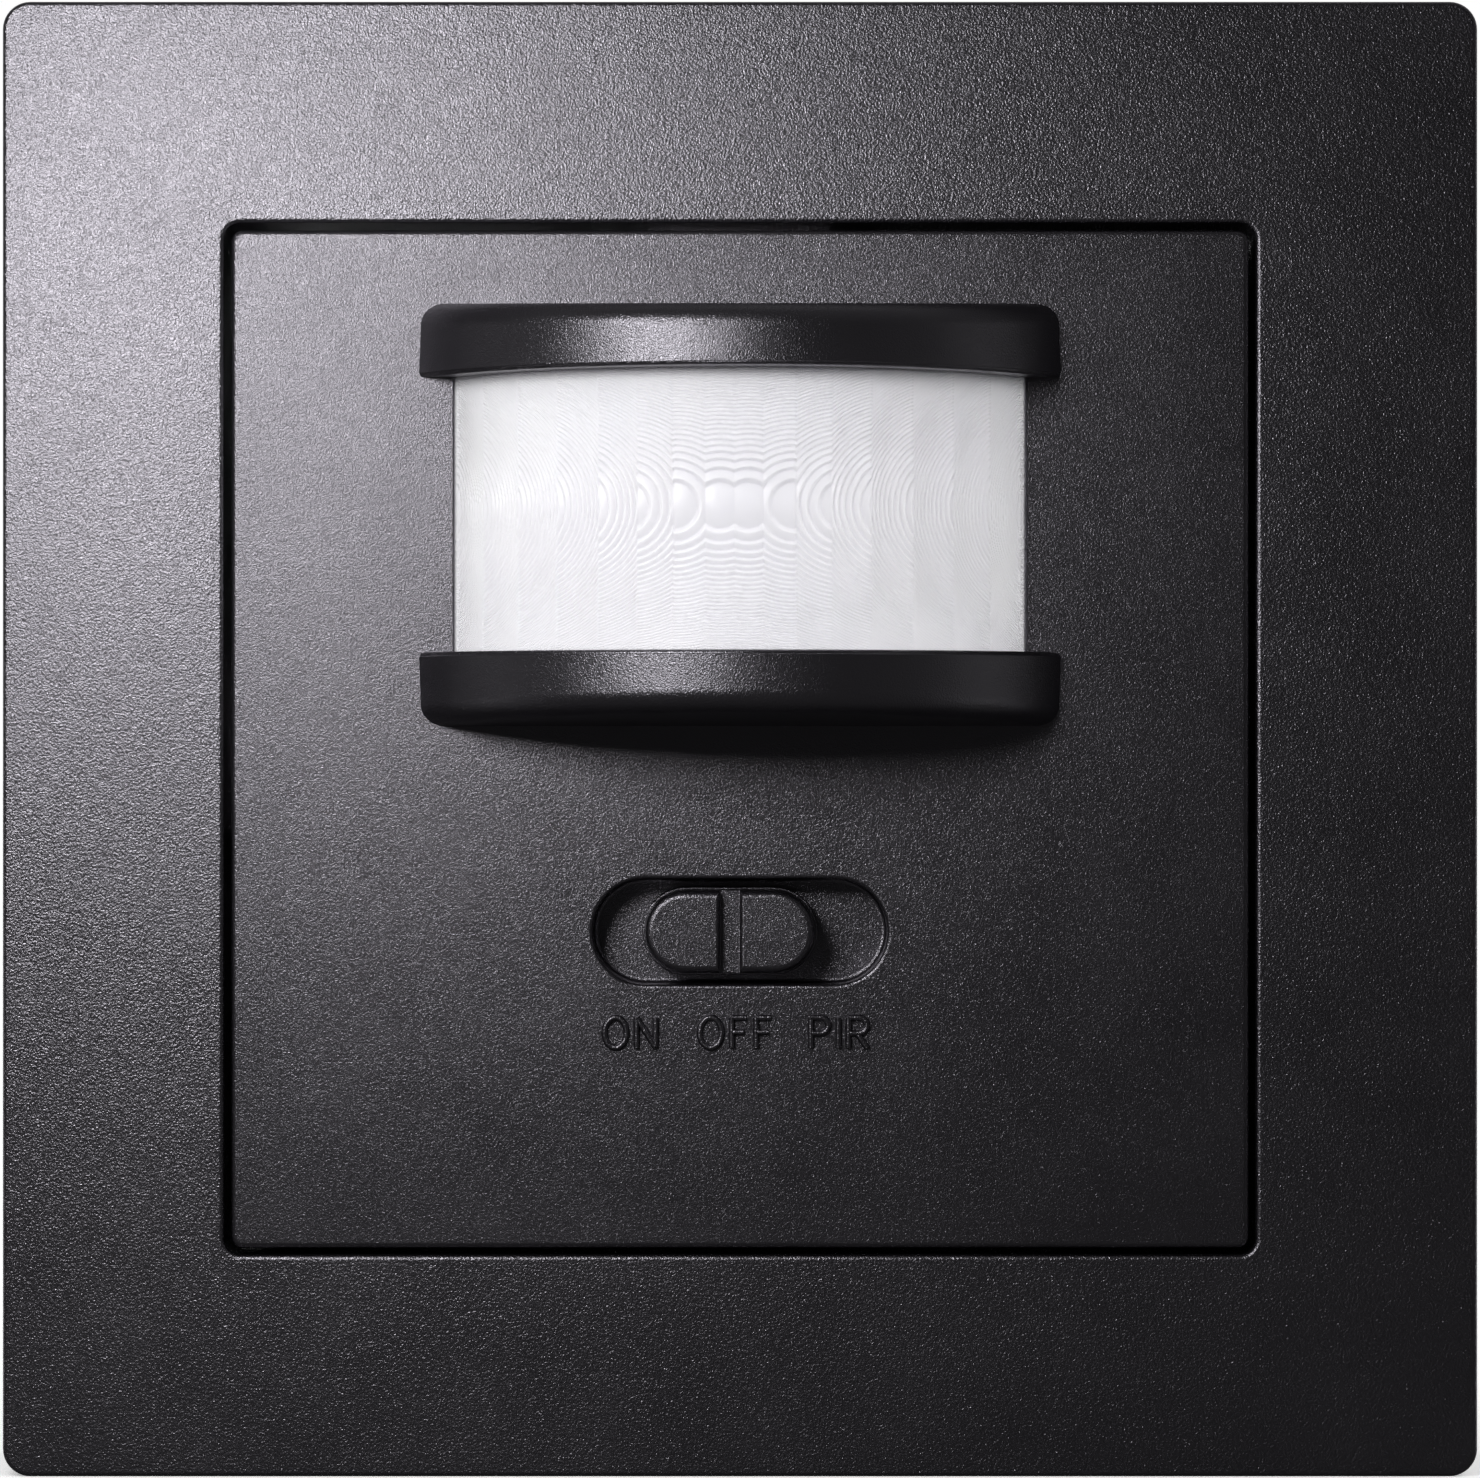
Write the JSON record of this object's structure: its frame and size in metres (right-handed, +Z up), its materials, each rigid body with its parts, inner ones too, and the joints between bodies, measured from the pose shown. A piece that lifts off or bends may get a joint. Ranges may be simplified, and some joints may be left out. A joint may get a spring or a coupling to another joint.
{
  "type": "motion sensor light switch",
  "caption": "Square flush-mounted motion sensor wall switch with a dark cover frame, a white curved lens between two hoods and a sliding mode knob.",
  "frame": {"origin": "centre of the steel yoke's rear face, on the wall plane", "axes": "+X to the viewer's right, +Y into the wall, +Z up; the front faces -Y"},
  "size_m": [0.08, 0.0553, 0.08],
  "materials": {
    "anthracite_plastic": "fine moulded grain, matt",
    "knob_plastic": "smooth, satin",
    "lens_plastic": "milky, satin",
    "black_plastic": "matt",
    "grey_plastic": "satin",
    "zinc_steel": "bright zinc",
    "bare_brass": "bright",
    "tinned_metal": "tinned",
    "board_laminate": "lacquered",
    "filter_glass": "dark infrared filter",
    "sensor_ceramic": "glazed",
    "switch_laminate": "pressed laminate",
    "trimmer_plastic": "glossy",
    "rotor_plastic": "satin",
    "relay_plastic": "satin",
    "film_plastic": "glossy",
    "capacitor_sleeve": "shrink sleeve",
    "varistor_lacquer": "dipped lacquer",
    "fuse_ceramic": "ceramic"
  },
  "bodies": {
    "switch": {"cover_frame": "anthracite_plastic", "centre_plate": "anthracite_plastic", "fresnel_lens": "lens_plastic", "lens_retainer": "black_plastic", "inner_cover": "grey_plastic", "cover_screws": "zinc_steel", "mounting_yoke": "zinc_steel", "rear_housing": "grey_plastic", "sensor_board": "board_laminate", "pir_header": "tinned_metal", "pir_can": "zinc_steel", "pir_window": "filter_glass", "light_sensor": "sensor_ceramic", "switch_base": "switch_laminate", "switch_shell": "zinc_steel", "switch_terminals": "tinned_metal", "time_trimmer_body": "trimmer_plastic", "lux_trimmer_body": "trimmer_plastic", "control_chip": "black_plastic", "link_header": "black_plastic", "link_pins": "bare_brass", "power_board": "board_laminate", "relay": "relay_plastic", "film_capacitor": "film_plastic", "smoothing_capacitors": "capacitor_sleeve", "varistor": "varistor_lacquer", "fuse": "fuse_ceramic", "rectifier_diodes": "black_plastic", "terminal_block": "grey_plastic", "terminal_cages": "bare_brass", "terminal_screws": "zinc_steel"},
    "slider": {"mode_slider": "knob_plastic", "slider_carrier": "black_plastic", "switch_actuator": "black_plastic", "switch_contact": "bare_brass"},
    "time_rotor": {"time_trimmer_rotor": "rotor_plastic"},
    "lux_rotor": {"lux_trimmer_rotor": "rotor_plastic"}
  },
  "joints": [
    {"name": "mode_slide", "type": "slide", "parent": "switch", "child": "slider", "axis": [1, 0, 0], "range_m": [-0.0025, 0.0025]},
    {"name": "time_turn", "type": "hinge", "parent": "switch", "child": "time_rotor", "pos_m": [-0.012, 0, 0.0005], "axis": [0, 1, 0], "range_deg": [-135, 135]},
    {"name": "lux_turn", "type": "hinge", "parent": "switch", "child": "lux_rotor", "pos_m": [0.012, 0, 0.0005], "axis": [0, 1, 0], "range_deg": [-135, 135]}
  ]
}
